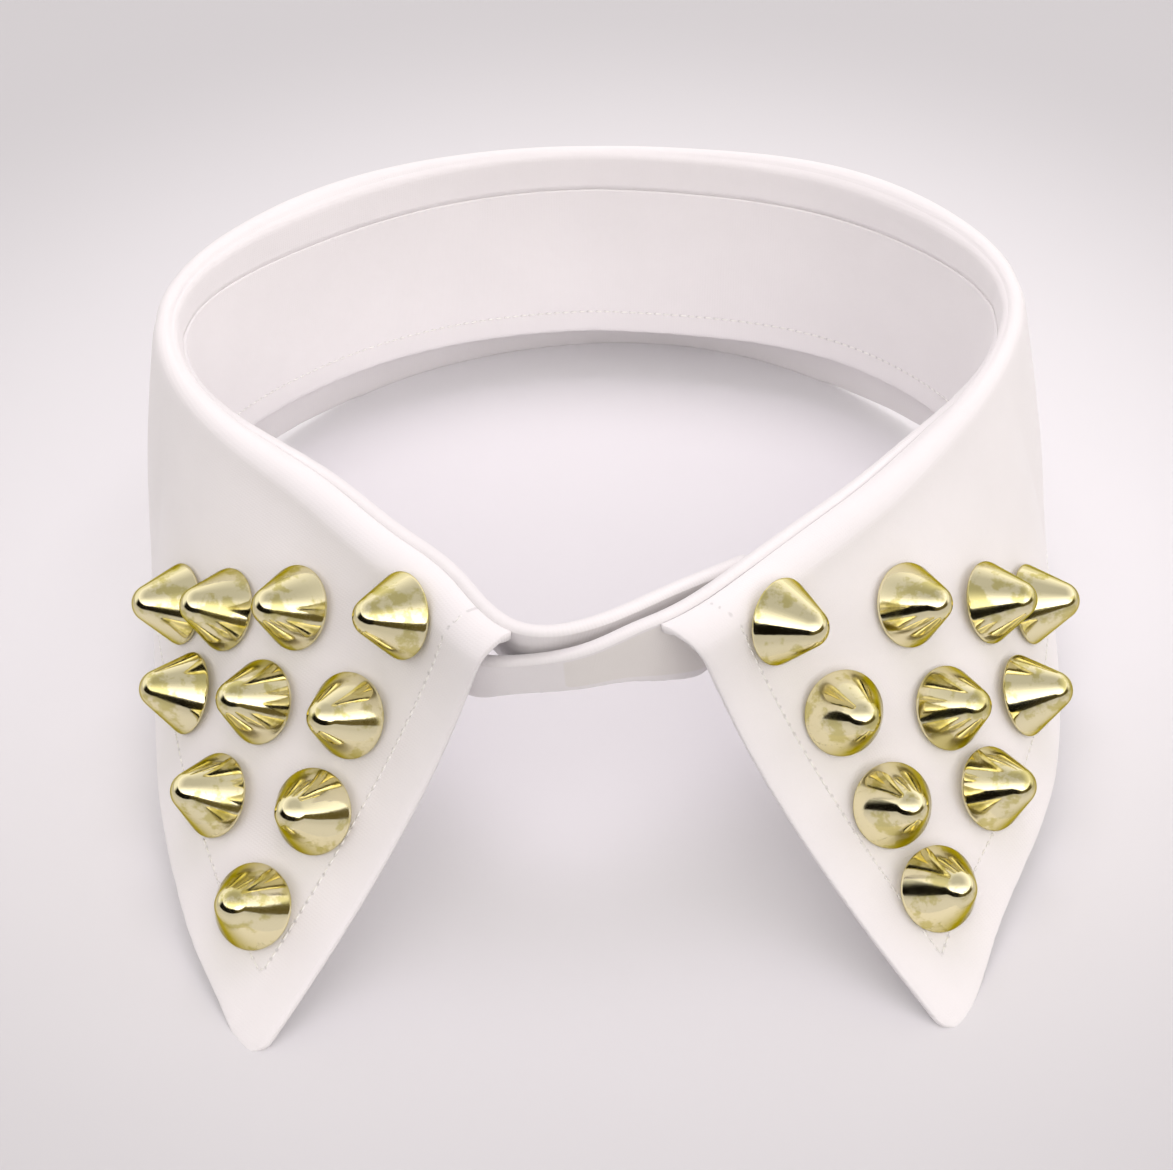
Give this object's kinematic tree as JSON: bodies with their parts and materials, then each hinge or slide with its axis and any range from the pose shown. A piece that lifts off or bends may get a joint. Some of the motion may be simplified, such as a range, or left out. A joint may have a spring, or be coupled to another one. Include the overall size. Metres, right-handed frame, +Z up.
{
  "type": "detachable shirt collar",
  "caption": "Detachable shirt collar of white woven cotton, buttoned round an open neck, with metal cone studs on both points.",
  "frame": {"origin": "middle of the collar's box, on the surface it stands on", "axes": "+Z up, -Y towards the front where the band's ends cross, +X towards the wearer's left"},
  "size_m": [0.1425, 0.168, 0.0508],
  "materials": {
    "white_cotton_leaf": "matte",
    "white_cotton_stand": "matte",
    "champagne_gold_plate": "polished",
    "bent_steel_prong": "satin",
    "white_button_resin": "gloss"
  },
  "bodies": {
    "root": {"collar_leaf": "white_cotton_leaf", "collar_stand": "white_cotton_stand", "front_button": "white_button_resin", "stud_left_01": "champagne_gold_plate", "stud_left_02": "champagne_gold_plate", "stud_left_03": "champagne_gold_plate", "stud_left_04": "champagne_gold_plate", "stud_left_05": "champagne_gold_plate", "stud_left_06": "champagne_gold_plate", "stud_left_07": "champagne_gold_plate", "stud_left_08": "champagne_gold_plate", "stud_left_09": "champagne_gold_plate", "stud_left_10": "champagne_gold_plate", "stud_right_01": "champagne_gold_plate", "stud_right_02": "champagne_gold_plate", "stud_right_03": "champagne_gold_plate", "stud_right_04": "champagne_gold_plate", "stud_right_05": "champagne_gold_plate", "stud_right_06": "champagne_gold_plate", "stud_right_07": "champagne_gold_plate", "stud_right_08": "champagne_gold_plate", "stud_right_09": "champagne_gold_plate", "stud_right_10": "champagne_gold_plate", "claws_left_01": "bent_steel_prong", "claws_left_02": "bent_steel_prong", "claws_left_03": "bent_steel_prong", "claws_left_04": "bent_steel_prong", "claws_left_05": "bent_steel_prong", "claws_left_06": "bent_steel_prong", "claws_left_07": "bent_steel_prong", "claws_left_08": "bent_steel_prong", "claws_left_09": "bent_steel_prong", "claws_left_10": "bent_steel_prong", "claws_right_01": "bent_steel_prong", "claws_right_02": "bent_steel_prong", "claws_right_03": "bent_steel_prong", "claws_right_04": "bent_steel_prong", "claws_right_05": "bent_steel_prong", "claws_right_06": "bent_steel_prong", "claws_right_07": "bent_steel_prong", "claws_right_08": "bent_steel_prong", "claws_right_09": "bent_steel_prong", "claws_right_10": "bent_steel_prong"}
  },
  "joints": []
}
